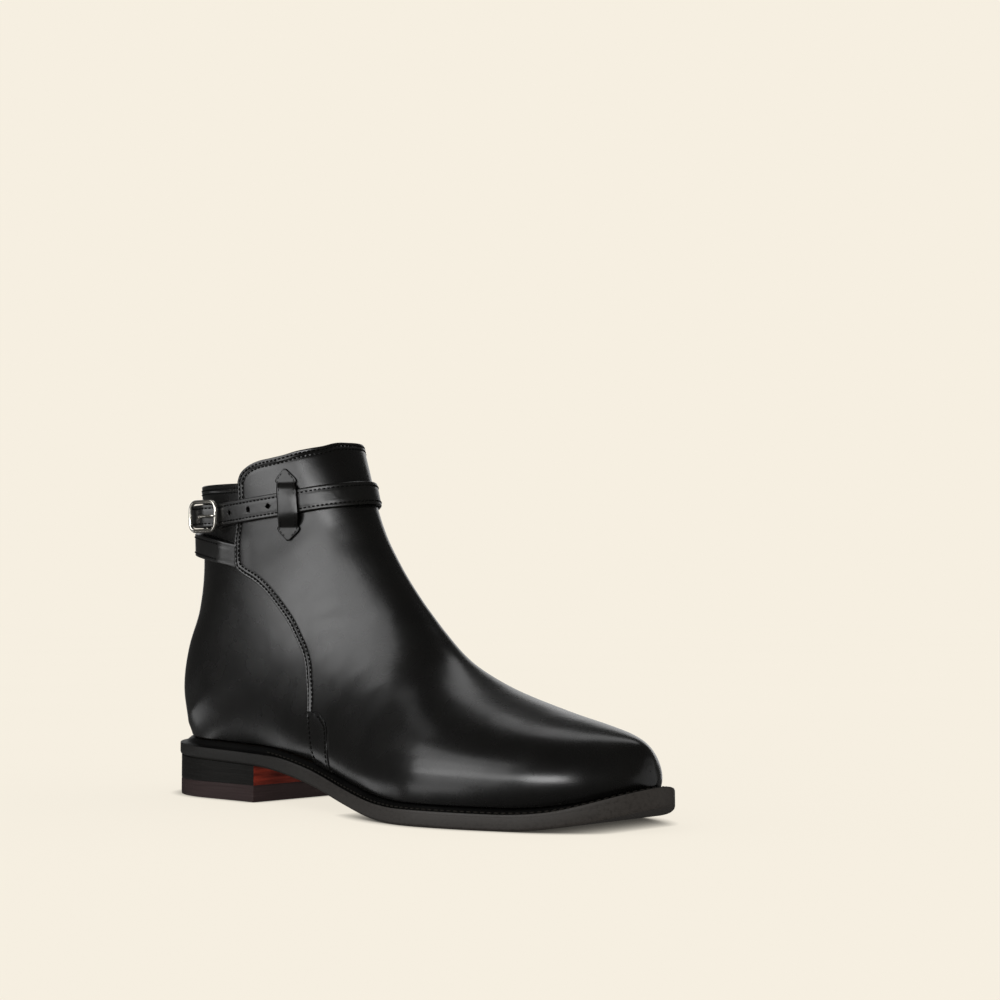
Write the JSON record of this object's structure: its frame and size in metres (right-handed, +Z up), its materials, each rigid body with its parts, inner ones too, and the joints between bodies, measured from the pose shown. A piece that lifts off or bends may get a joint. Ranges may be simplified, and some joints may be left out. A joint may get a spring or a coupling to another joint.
{
  "type": "buckle boot",
  "caption": "Ankle-high leather boot for the right foot, with a strap wrapped round the ankle through stitched keepers to a metal buckle, on a welted leather sole and a stacked heel.",
  "frame": {"origin": "on the floor, in the middle of the sole's length and width", "axes": "+X from heel to toe, +Y to the inner side of the foot, +Z up"},
  "size_m": [0.302, 0.1036, 0.1748],
  "materials": {
    "outsole": "black stained edge, satin",
    "heel_stack": "stacked lifts, black sides and red breast",
    "heel_top_piece": "dark brown, satin",
    "welt": "black, stitched, satin",
    "insole": "tan, matt",
    "upper": "smooth black calf, polished",
    "strap": "smooth black calf, polished",
    "buckle": "polished nickel"
  },
  "bodies": {
    "root": {"outsole": "outsole", "heel_stack": "heel_stack", "heel_top_piece": "heel_top_piece", "welt": "welt", "insole": "insole", "upper": "upper", "wrap_strap": "strap", "buckle_strap": "strap", "keeper_lateral": "strap", "keeper_medial": "strap", "buckle_frame": "buckle", "buckle_prong": "buckle"}
  },
  "joints": []
}
